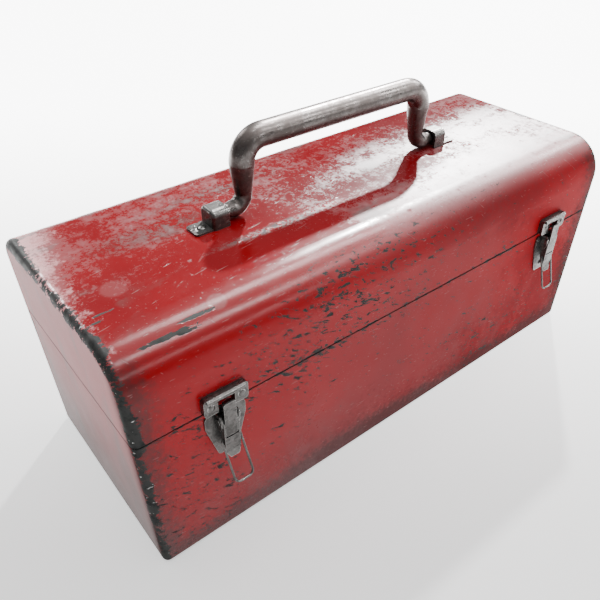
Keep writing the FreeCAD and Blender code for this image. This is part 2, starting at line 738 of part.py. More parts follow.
def make_lever(side, centre):
    """A channel: two cheeks on the pin, joined by a front plate that flares at its tip."""
    body = latch_body("lever_body_" + side, centre)
    tip = "LeverBottom"
    bend = "(LeverBottom * 0.86)"
    profile = side_profile([("HookOut", "-LeverPlateTop"), (strip_front, "-LeverPlateTop"),
                            (strip_front, "-" + bend), (strip_front + " + LeverFlare", "-" + tip),
                            ("HookOut + LeverFlare", "-%s" % tip), ("HookOut", "-" + bend)])
    plate = outline(body, "lever_plate_" + side, "YZ_Plane", profile, offset="-" + cheek_out)
    pad(body, plate, "2 * " + cheek_out)
    for cheek_side in zones:
        low = mirrored(cheek_side, cheek_in, cheek_out)[0]
        cheek = outline(body, "cheek_%s_%s" % (cheek_side, side), "YZ_Plane",
                        side_profile([("-CheekBack", "-CheekBack"), ("-CheekBack", "-LeverPlateTop"),
                                      ("HookOut", "-" + bend), (strip_front, "-" + bend),
                                      (strip_front, "-CheekBack"), ("CheekBack * 0.7", "CheekBack * 0.7"),
                                      ("0", "CheekBack"), ("-CheekBack * 0.7", "CheekBack * 0.7")]),
                        offset=low)
        pad(body, cheek, "CheekThickness")
    corner = outline(body, "tip_trim_" + side, "XZ_Plane",
                     [(cheek_out, "-" + bend), (cheek_out + " + 1", "-" + bend),
                      (cheek_out + " + 1", "-%s - 1" % tip), ("LeverTipHalf", "-%s - 1" % tip),
                      ("LeverTipHalf", "-%s" % tip)], offset="-CheekBack")
    pocket(body, corner, "4 * CheekBack", backwards=True)
    other = outline(body, "tip_trim_mirror_" + side, "XZ_Plane",
                    [("-" + cheek_out, "-" + bend), ("-LeverTipHalf", "-%s" % tip),
                     ("-LeverTipHalf", "-%s - 1" % tip), ("-%s - 1" % cheek_out, "-%s - 1" % tip),
                     ("-%s - 1" % cheek_out, "-" + bend)], offset="-CheekBack")
    pocket(body, other, "4 * CheekBack", backwards=True)
    bores = (("pin", "0", "0", "LatchPinRadius + RunningClearance"),
             ("hook", "0", "-HookPinDrop", "HookPinRadius"),
             ("ring", "-RingPivotOut", "-RingPivotDrop", "RingWireRadius + RunningClearance"))
    for name, u, v, radius in bores:
        bore = ring_outline(body, "lever_%s_bore_%s" % (name, side), "YZ_Plane", u, v, radius,
                            offset="-" + cheek_out)
        pocket(body, bore, "2 * " + cheek_out, backwards=True)
    return body


def make_hook(side, centre):
    """A flat strip on a barrel, with a nose that reaches back into the catch."""
    body = latch_body("hook_body_" + side, centre)
    strip = outline(body, "hook_strip_" + side, "XZ_Plane",
                    [("-HookHalf", "-HookBottom"), ("HookHalf", "-HookBottom"),
                     ("HookHalf", "HookTop"), ("-HookHalf", "HookTop")], offset="HookOut")
    pad(body, strip, "StripThickness")
    round_edges(body, "hook_corners_" + side, "HookHalf / 3", lambda edge: runs_along(edge, "Y"))
    nose = outline(body, "hook_nose_" + side, "YZ_Plane",
                   side_profile([("HookOut", "HookTop - 0.3"), ("HookOut", "HookTop - HookNoseHeight"),
                                 ("HookOut - HookNoseDepth", "HookTop - HookNoseHeight + 0.6"),
                                 ("HookOut - HookNoseDepth", "HookTop - 1.2")]),
                   offset="-(HookHalf - 1.4)")
    pad(body, nose, "2 * (HookHalf - 1.4)")
    lug = outline(body, "hook_lug_" + side, "YZ_Plane",
                  side_profile([("0", "-HookPinDrop - HookBarrelRadius"),
                                ("HookOut", "-HookPinDrop - HookBarrelRadius"),
                                ("HookOut", "-HookPinDrop + HookBarrelRadius"),
                                ("0", "-HookPinDrop + HookBarrelRadius")]),
                  offset="-HookBarrelHalf")
    pad(body, lug, "2 * HookBarrelHalf")
    barrel = ring_outline(body, "hook_barrel_" + side, "YZ_Plane", "0", "-HookPinDrop",
                          "HookBarrelRadius", offset="-HookBarrelHalf")
    pad(body, barrel, "2 * HookBarrelHalf")
    bore = ring_outline(body, "hook_bore_" + side, "YZ_Plane", "0", "-HookPinDrop",
                        "HookPinRadius + RunningClearance", offset="-HookBarrelHalf")
    pocket(body, bore, "2 * HookBarrelHalf", backwards=True)
    return body


def make_catch(side, centre):
    """A raised catch on the lid with a window that is open downwards."""
    body = doc.addObject("PartDesign::Body", "catch_body_" + side)
    place(body, centre, front_y, lid_bottom)
    window = "(CatchHeight - CatchWindowTop)"
    face = outline(body, "catch_face_" + side, "XZ_Plane",
                   [("-CatchHalf", "0"), ("-CatchWindowHalf", "0"),
                    ("-CatchWindowHalf", "CatchWindowTop"), ("CatchWindowHalf", "CatchWindowTop"),
                    ("CatchWindowHalf", "0"), ("CatchHalf", "0"),
                    ("CatchHalf", "CatchHeight"), ("-CatchHalf", "CatchHeight")])
    pad(body, face, "CatchThickness")
    outer, top = value("CatchHalf"), value("CatchHeight")
    round_edges(body, "catch_corners_" + side, "%s / 2" % window,
                lambda edge: runs_along(edge, "Y") and abs(abs(edge.CenterOfMass.x) - outer) < 0.01)
    rim = outline(body, "catch_rim_" + side, "YZ_Plane",
                  [("0", "CatchHeight"), ("0", "CatchHeight - CatchRimHeight"),
                   ("-CatchRimThickness", "CatchHeight - CatchRimHeight + 0.8"),
                   ("-CatchRimThickness", "CatchHeight - 0.8"),
                   ("-CatchThickness", "CatchHeight")],
                  offset="-(CatchHalf - %s / 2)" % window)
    pad(body, rim, "2 * CatchHalf - " + window)
    return body


def make_ring(side, lean):
    """A wire ring: two ends turned into the lever's cheeks, two legs and a rounded foot."""
    half, length, corner = value(ring_half), value("RingLength"), value("RingCorner")
    inner_end, elbow = value(cheek_in) - 0.2, value(ring_elbow)
    diagonal = math.sqrt(0.5)

    def bend(centre_x, centre_z, radius, sign_x, sign_z):
        """A quarter round bend, from beside its centre to above or below it."""
        return Part.Arc(Vector(centre_x + sign_x * radius, 0, centre_z),
                        Vector(centre_x + sign_x * radius * diagonal, 0,
                               centre_z + sign_z * radius * diagonal),
                        Vector(centre_x, 0, centre_z + sign_z * radius)).toShape()

    path = []
    for sign in (-1, 1):
        side_edges = [
            Part.makeLine(Vector(sign * inner_end, 0, 0), Vector(sign * (half - elbow), 0, 0)),
            bend(sign * (half - elbow), -elbow, elbow, sign, 1),
            Part.makeLine(Vector(sign * half, 0, -elbow), Vector(sign * half, 0, corner - length)),
            bend(sign * (half - corner), corner - length, corner, sign, -1),
        ]
        path.extend(side_edges)
    path.append(Part.makeLine(Vector(corner - half, 0, -length), Vector(half - corner, 0, -length)))
    spine = Part.Wire(Part.__sortEdges__(path))
    start = spine.OrderedVertexes[0].Point
    section = Part.Wire(Part.makeCircle(value("RingWireRadius"), start, Vector(1, 0, 0)))
    item = doc.addObject("Part::Feature", "ring_wire_" + side)
    item.Shape = spine.makePipeShell([section], True, False)
    sign = -1 if side == "left" else 1
    pivot = Vector(sign * value("LatchCentre"), value(latch_y + " - RingPivotOut"),
                   value(latch_z + " - RingPivotDrop"))
    item.Placement = Placement(pivot, Rotation(Vector(-1, 0, 0), value(lean)))
    return item


plate_rivet_points = []
catch_rivet_points = []
for side, centre, lean in (("left", "-LatchCentre", "RingLeanLeft"),
                           ("right", "LatchCentre", "RingLeanRight")):
    node(make_lever(side, centre), "latch_lever_" + side)
    node(make_hook(side, centre), "latch_hook_" + side)
    node(make_ring(side, lean), "latch_ring_" + side)
    pin_shank = rod("lever_pin_shank_" + side, ("%s - %s" % (centre, ear_out),
                                                "%s + %s" % (centre, ear_out)),
                    latch_y, latch_z, "LatchPinRadius")
    pin_heads = [rod("lever_pin_head_%s_%s" % (end, side),
                     ("%s + %s" % (centre, low), "%s + %s" % (centre, high)),
                     latch_y, latch_z, "1.7 * LatchPinRadius")
                 for end, (low, high) in
                 {end: mirrored(end, ear_out, "(%s + EarThickness * 0.8)" % ear_out)
                  for end in zones}.items()]
    node(fuse("lever_pin_" + side, pin_shank, *pin_heads), "latch_lever_pin_" + side)
    node(rod("hook_pin_" + side, ("%s - %s" % (centre, cheek_out), "%s + %s" % (centre, cheek_out)),
             latch_y, "%s - HookPinDrop" % latch_z, "HookPinRadius"), "latch_hook_pin_" + side)
    x = value(centre)
    plate_face = value(front_y + " - LatchPlateThickness")
    plate_rivet_points += [Vector(x, plate_face, value(latch_z) + level)
                           for level in (-value("LeverPlateTop"), -value("LeverBottom") * 0.85)]
    catch_face = value(front_y + " - CatchThickness")
    catch_rivet_points += [Vector(x + sign * (value("CatchHalf + CatchWindowHalf") / 2), catch_face,
                                  value(lid_bottom + " + CatchHeight / 2 - 1"))
                           for sign in (-1, 1)]

outwards = Vector(0, -1, 0)
plate_holes = rivet_group("latch_plate_rivets", plate_rivet_points, outwards,
                          value("LatchPlateThickness + SheetThickness"))
catch_holes = rivet_group("latch_catch_rivets", catch_rivet_points, outwards,
                          value("CatchThickness + SheetThickness"))
for side, centre in (("left", "-LatchCentre"), ("right", "LatchCentre")):
    node(cut("plate_drilled_" + side, make_latch_plate(side, centre), plate_holes),
         "latch_plate_" + side)
    node(cut("catch_drilled_" + side, make_catch(side, centre), catch_holes),
         "latch_catch_" + side)


# ---- the casings, drilled for what is riveted to them ----------------------------------------

base_drilled = cut("base_drilled_for_hinge", base_wrap, base_leaf_holes)
node(cut("base_drilled_for_latches", base_drilled, plate_holes), "base_wrap")
lid_drilled = cut("lid_drilled_for_hinge", lid_wrap, lid_leaf_holes)
lid_drilled = cut("lid_drilled_for_brackets", lid_drilled, bracket_holes)
node(cut("lid_drilled_for_catches", lid_drilled, catch_holes), "lid_wrap")


# ---- tray ------------------------------------------------------------------------------------

def tray_form(name, inset, top):
    """The tray's outer form set in by a wall, up to a level."""
    body = doc.addObject("PartDesign::Body", name)
    place(body, "0", "0", "%s + (%s)" % (tray_floor, inset))
    reach = "(%s - (%s))" % (tray_half, inset)
    front = "(%s + (%s))" % (tray_front, inset)
    back = "(%s - (%s))" % (tray_back, inset)
    plan = outline(body, name + "_plan", "XY_Plane",
                   [("-" + reach, front), (reach, front), (reach, back), ("-" + reach, back)])
    pad(body, plan, top)
    round_edges(body, name + "_corners", "TrayCorner - (%s)" % inset,
                lambda edge: runs_along(edge, "Z"))
    round_edges(body, name + "_bottom", "(TrayCorner - (%s)) / 2" % inset,
                lambda edge: near(edge, z=0))
    return body


tray_outer = tray_form("tray_outer", "0", "TrayHeight")
tray_inner = tray_form("tray_inner", "TrayThickness", "TrayHeight")
pan = cut("tray_hollowed", tray_outer, tray_inner)
pin_bores = []
for side in zones:
    for end, (y, z) in {"rear": (rear_pivot_y, rear_pivot_z),
                        "front": (front_pivot_y, front_pivot_z)}.items():
        wall = mirrored(side, "(%s - 2 * TrayThickness)" % tray_half, "(%s + 1)" % tray_half)
        pin_bores.append(rod("tray_%s_bore_%s" % (end, side), wall, y, z, "LinkPinRadius"))
node(cut("tray_drilled", pan, fuse("tray_bores", *pin_bores)), "tray_pan")

divider_y = "(%s - DividerSetback)" % tray_back
inner_floor = "(%s + TrayThickness)" % tray_floor
divider_top = "(%s + DividerHeight)" % inner_floor
divider_y_span = (divider_y, "%s + TrayThickness" % divider_y)
divider_reach = "(%s - TrayCorner)" % tray_half
node(slab("long_divider", ("-" + divider_reach, divider_reach), divider_y_span,
          (inner_floor, divider_top)), "tray_long_divider")
cross_dividers = []
cross_count = 3
for index in range(1, cross_count + 1):
    x = "(-%s + %d * 2 * %s / %d)" % (tray_half, index, tray_half, cross_count + 1)
    cross_dividers.append(slab("cross_divider_%d" % index, (x, "%s + TrayThickness" % x),
                               ("%s + TrayThickness" % divider_y, "%s - TrayThickness" % tray_back),
                               ("(%s + TrayCorner / 2)" % inner_floor, divider_top)))
divider_set = doc.addObject("Part::Compound", "cross_divider_set")
divider_set.Links = cross_dividers
node(divider_set, "tray_cross_dividers")


# ---- tray arms, links and pins ---------------------------------------------------------------

bore_radius = "LinkPinRadius + RunningClearance"
arm_outer = "(%s + LinkThickness)" % arm_x
link_outer = "(%s + LinkThickness)" % link_x
head_gap = "(StackGap - LinkPinHeadThickness) / 4"
rear_pins = []
front_pins = []


def make_arm(side):
    """Hangs from the lid's end panel and carries the tray's rear pivot."""
    body = doc.addObject("PartDesign::Body", "arm_body_" + side)
    place(body, "0", rear_pivot_y, rear_pivot_z)
    rise = "(SeamHeight + ArmPadRise + LinkThickness - %s)" % rear_pivot_z
    low = mirrored(side, arm_x, arm_outer)[0]
    strip = outline(body, "arm_strip_" + side, "YZ_Plane",
                    [("-LinkHalfWidth", "-LinkHalfWidth"), ("LinkHalfWidth", "-LinkHalfWidth"),
                     ("ArmTopHalf", rise), ("-ArmTopHalf", rise)], offset=low)
    pad(body, strip, "LinkThickness")
    foot = -value("LinkHalfWidth")
    round_edges(body, "arm_foot_" + side, "LinkHalfWidth * 0.9",
                lambda edge: runs_along(edge, "X") and near(edge, z=foot))
    bore = ring_outline(body, "arm_bore_" + side, "YZ_Plane", "0", "0", bore_radius, offset=low)
    pocket(body, bore, "LinkThickness", backwards=True)
    arm_y = ("%s - ArmTopHalf" % rear_pivot_y, "%s + ArmTopHalf" % rear_pivot_y)
    web_box = slab("arm_web_zone_" + side, mirrored(side, arm_x, beyond), arm_y,
                   ("SeamHeight + ArmPadRise", "SeamHeight + ArmPadRise + LinkThickness"))
    pad_box = slab("arm_pad_zone_" + side, mirrored(side, arm_x, beyond), arm_y,
                   ("SeamHeight + ArmPadRise", "SeamHeight + ArmPadRise + ArmPadHeight"))
    web = common("arm_web_" + side, web_box, wall_form)
    wall_pad = cut("arm_pad_" + side, common("arm_pad_block_" + side, pad_box, wall_form),
                   arm_pad_form)
    return fuse("arm_" + side, body, web, wall_pad)


def make_link(side):
    """A strip from the base's end panel to the tray's front pivot."""
    body = doc.addObject("PartDesign::Body", "link_body_" + side)
    low = mirrored(side, link_x, link_outer)[0]
    body.Placement = Placement(Vector(), Rotation(Vector(1, 0, 0), value("LinkDroop")))
    place(body, "0", link_base_y, link_base_z)
    bind(body, Placement__Rotation__Angle="LinkDroop")
    strip = outline(body, "link_strip_" + side, "YZ_Plane",
                    [("-LinkLength - LinkHalfWidth", "-LinkHalfWidth"),
                     ("LinkHalfWidth", "-LinkHalfWidth"), ("LinkHalfWidth", "LinkHalfWidth"),
                     ("-LinkLength - LinkHalfWidth", "LinkHalfWidth")], offset=low)
    pad(body, strip, "LinkThickness")
    round_edges(body, "link_ends_" + side, "LinkHalfWidth * 0.98",
                lambda edge: runs_along(edge, "X"))
    for name, reach in (("base", "0"), ("tray", "-LinkLength")):
        bore = ring_outline(body, "link_%s_bore_%s" % (name, side), "YZ_Plane", reach, "0",
                            bore_radius, offset=low)
        pocket(body, bore, "LinkThickness", backwards=True)
    return body


def make_stud(side):
    """Welded inside the base's end panel; the link turns on it."""
    gap = "RunningClearance * 3"
    collar = common("stud_collar_" + side,
                    rod("stud_collar_bar_" + side, mirrored(side, "%s + %s" % (link_outer, gap), half_length),
                        link_base_y, link_base_z, "LinkPinHead"), wall_form)
    shank = rod("stud_shank_" + side,
                mirrored(side, "%s - %s" % (link_x, gap), "%s + %s + 0.1" % (link_outer, gap)),
                link_base_y, link_base_z, "LinkPinRadius")
    head = rod("stud_head_" + side,
               mirrored(side, "%s - %s - LinkPinHeadThickness" % (link_x, gap), "%s - %s" % (link_x, gap)),
               link_base_y, link_base_z, "LinkPinHead")
    return fuse("stud_" + side, collar, shank, head)


def make_tray_pin(name, side, y, z, collar_end, strip_inner, strip_outer):
    """Fixed in the tray's end wall, through an arm or a link, with a head outside it."""
    wall = "(%s - TrayThickness)" % tray_half
    head_start = "(%s + %s)" % (strip_outer, head_gap)
    pieces = [
        rod(name + "_shank_" + side, mirrored(side, wall, head_start), y, z, "LinkPinRadius"),
        rod(name + "_head_" + side,
            mirrored(side, head_start, "%s + LinkPinHeadThickness" % head_start), y, z,
            "LinkPinHead"),
        rod(name + "_collar_" + side,
            mirrored(side, tray_half, "%s - %s" % (strip_inner, head_gap)), y, z, collar_end),
    ]
    return fuse(name + "_" + side, *pieces)


for side in zones:
    node(make_arm(side), "lid_arm_" + side)
    node(make_link(side), "front_link_" + side)
    node(make_stud(side), "link_stud_" + side)
    rear_pins.append(make_tray_pin("rear_pin", side, rear_pivot_y, rear_pivot_z, "LinkPinHead",
                                   arm_x, arm_outer))
    front_pins.append(make_tray_pin("front_pin", side, front_pivot_y, front_pivot_z, "LinkPinHead",
                                    link_x, link_outer))

for label, pins in (("tray_rear_pins", rear_pins), ("tray_front_pins", front_pins)):
    group = doc.addObject("Part::Compound", label + "_group")
    group.Links = pins
    node(group, label)


# ---- check everything, then write one file for each piece ------------------------------------

doc.recompute()
for item in doc.Objects:
    if "Invalid" in item.State or "Error" in item.State:
        raise RuntimeError("%s did not build: %s" % (item.Name, item.State))
for label, item in nodes.items():
    if item.Shape.isNull() or not item.Shape.isValid() or not item.Shape.Solids:
        raise RuntimeError("%s has no valid solid" % label)
for label, item in nodes.items():
    item.Shape.exportStep(os.path.join("parts", label + ".step"))
    print("%-24s %2d solid(s) %10.1f mm3" % (label, len(item.Shape.Solids), item.Shape.Volume))
print("%d pieces written" % len(nodes))
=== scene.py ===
import json
import math

import bpy
from mathutils import Matrix, Vector


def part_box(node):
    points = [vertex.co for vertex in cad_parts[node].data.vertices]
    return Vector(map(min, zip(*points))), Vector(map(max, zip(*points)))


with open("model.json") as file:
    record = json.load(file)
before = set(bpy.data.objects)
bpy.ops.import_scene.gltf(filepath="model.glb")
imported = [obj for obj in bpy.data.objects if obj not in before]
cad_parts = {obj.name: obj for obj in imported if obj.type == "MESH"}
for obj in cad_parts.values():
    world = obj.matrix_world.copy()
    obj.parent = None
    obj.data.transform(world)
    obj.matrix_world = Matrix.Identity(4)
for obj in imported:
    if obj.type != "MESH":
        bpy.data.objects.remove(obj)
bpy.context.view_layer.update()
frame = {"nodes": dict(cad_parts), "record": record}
print("frame loaded:", len(frame["nodes"]), "nodes")


# camera
cameraView = {
    "lens": 38.09,              # mm, on a 36 mm sensor
    "place": (-0.3126, -0.3431, 0.4241),
    "azimuth": -38.42,          # 0 looks along +Y
    "elevation": 37.15,         # above the horizon
}


def towards(azimuth, elevation):   # unit vector from the object to a viewer or lamp there
    a, e = math.radians(azimuth), math.radians(elevation)
    return Vector((math.sin(a) * math.cos(e), -math.cos(a) * math.cos(e), math.sin(e)))


def addCamera(view):
    lens = bpy.data.cameras.new("camera")
    lens.lens = view["lens"]
    lens.sensor_width = 36.0
    lens.clip_start = 0.01
    eye = bpy.data.objects.new("camera", lens)
    eye.location = view["place"]
    eye.rotation_euler = towards(view["azimuth"], view["elevation"]).to_track_quat("Z", "Y").to_euler()
    bpy.context.scene.collection.objects.link(eye)
    bpy.context.scene.camera = eye


addCamera(cameraView)
print("camera set")


# lights and floor
toSun = (0.622, 0.475, 0.622)   # direction of the sun from the box
suns = {                        # angle: how wide the lamp looks, in degrees
    "keySun": {"to": toSun, "strength": 2.7, "angle": 2.6, "matt": True},
    "keyGlare": {"to": toSun, "strength": 12.0, "angle": 2.6, "matt": False},
}
lamps = {                       # to: direction from the box, away: how far, size: along X and across
    "backLamp": {"to": (-0.14, 0.84, 0.55), "away": 1.7, "size": (0.35, 0.50), "power": 16.0},
    "roofStrip": {"to": (0.61, 0.08, 0.78), "away": 1.8, "size": (2.1, 0.34), "power": 84.0},
    "frontStrip": {"to": (0.55, -0.45, 0.70), "away": 1.8, "size": (2.0, 0.15), "power": 30.0},
    "lowStrip": {"to": (0.55, -0.80, 0.42), "away": 1.8, "size": (2.0, 0.14), "power": 13.0},
}
sky = {"horizon": 0.16, "zenith": 2.3, "steepness": 4.0}
floorLook = {
    "size": 14.0,
    "colour": (0.74, 0.74, 0.735),
    "drift": 0.97,                     # darkest share of that colour
    "roughness": (0.57, 0.67),
    "glow": (0.80, 8.0),               # light of its own, in front of the box and far behind it
    "glowAcross": (0.62, 0.78),        # the way along the floor in which the glow grows
    "glowReach": (-0.25, 0.75),        # where it starts and where it is full
}
boxMiddle = Vector((0.0, 0.0, 0.12))


def addSun(name, look):
    sun = bpy.data.lights.new(name, "SUN")
    sun.energy = look["strength"]
    sun.angle = math.radians(look["angle"])
    lamp = bpy.data.objects.new(name, sun)
    lamp.rotation_euler = Vector(look["to"]).to_track_quat("Z", "Y").to_euler()
    lamp.visible_diffuse = look["matt"]       # a lamp that is only for gloss leaves matt surfaces alone
    bpy.context.scene.collection.objects.link(lamp)


def addLamp(name, look):
    area = bpy.data.lights.new(name, "AREA")
    area.shape = "RECTANGLE"
    area.size, area.size_y = look["size"]
    area.energy = look["power"]
    lamp = bpy.data.objects.new(name, area)
    aim = Vector(look["to"]).normalized()
    lamp.location = boxMiddle + aim * look["away"]
    along = (Vector((1.0, 0.0, 0.0)) - aim * aim.x).normalized()       # its long side runs with the box
    lamp.rotation_euler = Matrix((along, aim.cross(along), aim)).transposed().to_euler()
    lamp.visible_diffuse = False              # all of these are for gloss only
    bpy.context.scene.collection.objects.link(lamp)


for sunName, sunLook in suns.items():
    addSun(sunName, sunLook)
for lampName, lampLook in lamps.items():
    addLamp(lampName, lampLook)
print("lights set")


# material kit
class Field:                    # one value of a material, which adds, scales and compares like a number
    def __init__(self, kit, socket):
        self.kit, self.socket = kit, socket

    def __add__(self, other):
        return self.kit.math("ADD", self, other)

    __radd__ = __add__

    def __sub__(self, other):
        return self.kit.math("SUBTRACT", self, other)

    def __rsub__(self, other):
        return self.kit.math("SUBTRACT", other, self)

    def __mul__(self, other):
        return self.kit.math("MULTIPLY", self, other)

    __rmul__ = __mul__

    def least(self, other):
        return self.kit.math("MINIMUM", self, other)

    def most(self, other):
        return self.kit.math("MAXIMUM", self, other)

    def size(self):
        return self.kit.math("ABSOLUTE", self)

    def rise(self, low, high, start=0.0, end=1.0):       # smooth step from start to end between low and high
        node = self.kit.add("ShaderNodeMapRange", interpolation_type="SMOOTHSTEP")
        self.kit.feed(node.inputs["Value"], self)
        for socket, number in (("From Min", low), ("From Max", high), ("To Min", start), ("To Max", end)):
            node.inputs[socket].default_value = number
        return Field(self.kit, node.outputs["Result"])


class Finish:                   # a material being wired up on the object's own coordinates
    def __init__(self, name, **shaderNumbers):
        self.material = bpy.data.materials.new(name)
        self.material.use_nodes = True
        self.tree = self.material.node_tree
        self.tree.nodes.clear()
        self.count = 0
        self.output = self.add("ShaderNodeOutputMaterial")
        self.shader = self.add("ShaderNodeBsdfPrincipled")
        self.tree.links.new(self.shader.outputs["BSDF"], self.output.inputs["Surface"])
        for socket, number in shaderNumbers.items():
            self.shader.inputs[socket.replace("_", " ")].default_value = number
        self.place = self.add("ShaderNodeTexCoord").outputs["Object"]
        split = self.add("ShaderNodeSeparateXYZ")
        self.tree.links.new(self.place, split.inputs[0])
        self.x, self.y, self.z = (Field(self, split.outputs[i]) for i in range(3))

    def add(self, kind, **settings):
        node = self.tree.nodes.new(kind)
        node.location = (-220 * (self.count % 12), -260 * (self.count // 12))
        self.count += 1
        for key, setting in settings.items():
            setattr(node, key, setting)
        return node

    def feed(self, socket, source):
        if isinstance(source, Field):
            self.tree.links.new(source.socket, socket)
        elif isinstance(source, bpy.types.NodeSocket):
            self.tree.links.new(source, socket)
        else:
            socket.default_value = source

    def math(self, operation, first, second=None):
        node = self.add("ShaderNodeMath", operation=operation)
        self.feed(node.inputs[0], first)
        if second is not None:
            self.feed(node.inputs[1], second)
        return Field(self, node.outputs[0])

    def length(self, first, second):
        return self.math("SQRT", first * first + second * second)

    def stretched(self, along, turn):              # drawn out along one direction, turned in degrees
        node = self.add("ShaderNodeMapping", vector_type="TEXTURE")
        self.tree.links.new(self.place, node.inputs["Vector"])
        node.inputs["Rotation"].default_value = [math.radians(t) for t in turn]
        node.inputs["Scale"].default_value = along if isinstance(along, tuple) else (along, 1.0, 1.0)
        return node.outputs["Vector"]

    def noise(self, scale, detail, roughness, warp=0.0, seed=0.0, along=None, turn=(0.0, 0.0, 0.0)):
        node = self.add("ShaderNodeTexNoise", noise_dimensions="4D")
        place = self.place if along is None else self.stretched(along, turn)
        self.tree.links.new(place, node.inputs["Vector"])
        for socket, number in (("Scale", scale), ("Detail", detail), ("Roughness", roughness),
                               ("Distortion", warp), ("W", seed)):
            node.inputs[socket].default_value = number
        return Field(self, node.outputs["Fac"])

    def spot(self, centre, radius, soft):          # 1 inside an ellipsoid round a point, fading out
        offsets = [(axis - middle) * (1.0 / reach)
                   for axis, middle, reach in zip((self.x, self.y, self.z), centre, radius)]
        away = self.math("SQRT", offsets[0] * offsets[0] + offsets[1] * offsets[1] + offsets[2] * offsets[2])
        return away.rise(1.0 - soft, 1.0 + soft, 1.0, 0.0)

    def onEdges(self, radius, blunt, sharp):       # 1 along outer and inner edges, by how far a bevel turns
        bevel = self.add("ShaderNodeBevel", samples=4)
        bevel.inputs["Radius"].default_value = radius
        plain = self.add("ShaderNodeNewGeometry")
        dot = self.add("ShaderNodeVectorMath", operation="DOT_PRODUCT")
        self.tree.links.new(bevel.outputs["Normal"], dot.inputs[0])
        self.tree.links.new(plain.outputs["Normal"], dot.inputs[1])
        return Field(self, dot.outputs["Value"]).rise(sharp, blunt, 1.0, 0.0)

    def blend(self, amount, first, second):
        node = self.add("ShaderNodeMix", data_type="RGBA")
        self.feed(node.inputs["Factor"], amount)
        for socket, colour in ((node.inputs["A"], first), (node.inputs["B"], second)):
            target = [s for s in node.inputs if s.name == socket.name and s.type == "RGBA"][0]
            self.feed(target, colour if not isinstance(colour, tuple) else colour + (1.0,))
        return [s for s in node.outputs if s.type == "RGBA"][0]

    def bump(self, height, distance, under=None):
        node = self.add("ShaderNodeBump")
        self.feed(node.inputs["Height"], height)
        node.inputs["Distance"].default_value = distance
        node.inputs["Strength"].default_value = 1.0
        if under is not None:
            self.tree.links.new(under, node.inputs["Normal"])
        return node.outputs["Normal"]

    def finish(self, colour, roughness, metal=None, normal=None):
        self.feed(self.shader.inputs["Base Color"], colour)
        self.feed(self.shader.inputs["Roughness"], roughness)
        if metal is not None:
            self.feed(self.shader.inputs["Metallic"], metal)
        if normal is not None:
            self.tree.links.new(normal, self.shader.inputs["Normal"])
        return self.material


def paintFloor(look):
    floor = Finish("paleFloor", Specular_IOR_Level=0.2, Emission_Color=(1.0, 1.0, 1.0, 1.0))
    drift = floor.noise(0.8, 3.0, 0.5).rise(0.3, 0.7)
    pale = look["colour"]
    shade = floor.blend(drift, pale, tuple(look["drift"] * c for c in pale))
    grain = floor.noise(260.0, 2.0, 0.5, seed=3.0)
    near, far = look["glow"]
    alongX, alongY = look["glowAcross"]
    behind = floor.x * alongX + floor.y * alongY
    floor.feed(floor.shader.inputs["Emission Strength"], behind.rise(*look["glowReach"], near, far))
    return floor.finish(shade, grain.rise(0.2, 0.8, *look["roughness"]))


def addFloor(look):
    bpy.ops.object.select_all(action="DESELECT")
    bpy.ops.mesh.primitive_plane_add(size=look["size"], location=(0.0, 0.0, 0.0))
    floor = bpy.context.object
    floor.name = "floor"
    floor.data.materials.append(paintFloor(look))


def addSky(look):                # dim at the horizon and bright overhead
    world = bpy.data.worlds.new("sky")
    bpy.context.scene.world = world
    world.use_nodes = True
    tree = world.node_tree
    background = tree.nodes["Background"]
    background.inputs["Color"].default_value = (1.0, 1.0, 1.0, 1.0)
    coordinate = tree.nodes.new("ShaderNodeTexCoord")
    split = tree.nodes.new("ShaderNodeSeparateXYZ")
    upward = tree.nodes.new("ShaderNodeMath")
    upward.operation = "MAXIMUM"
    steep = tree.nodes.new("ShaderNodeMath")
    steep.operation = "POWER"
    steep.inputs[1].default_value = look["steepness"]
    level = tree.nodes.new("ShaderNodeMapRange")
    level.inputs["To Min"].default_value = look["horizon"]
    level.inputs["To Max"].default_value = look["zenith"]
    tree.links.new(coordinate.outputs["Generated"], split.inputs[0])
    tree.links.new(split.outputs[2], upward.inputs[0])
    tree.links.new(upward.outputs[0], steep.inputs[0])
    tree.links.new(steep.outputs[0], level.inputs["Value"])
    tree.links.new(level.outputs["Result"], background.inputs["Strength"])


addSky(sky)
addFloor(floorLook)
print("floor and sky set")


# the box's own measures
baseWrap, lidWrap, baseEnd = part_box("base_wrap"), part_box("lid_wrap"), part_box("base_end_right")
endLean = 0.03167               # how far the ends lean out for each metre of height
boxForm = {
    "lean": endLean,
    "endAtFoot": baseEnd[1].x - endLean * baseEnd[1].z,        # half length at the floor
    "frontRoll": 0.0325,        # radii of the lid's rolled edges
    "backRoll": 0.0200,
    "height": lidWrap[1].z,
    "half": lidWrap[1].y,       # half depth
    "seam": (baseWrap[1].z + lidWrap[0].z) / 2.0,
}


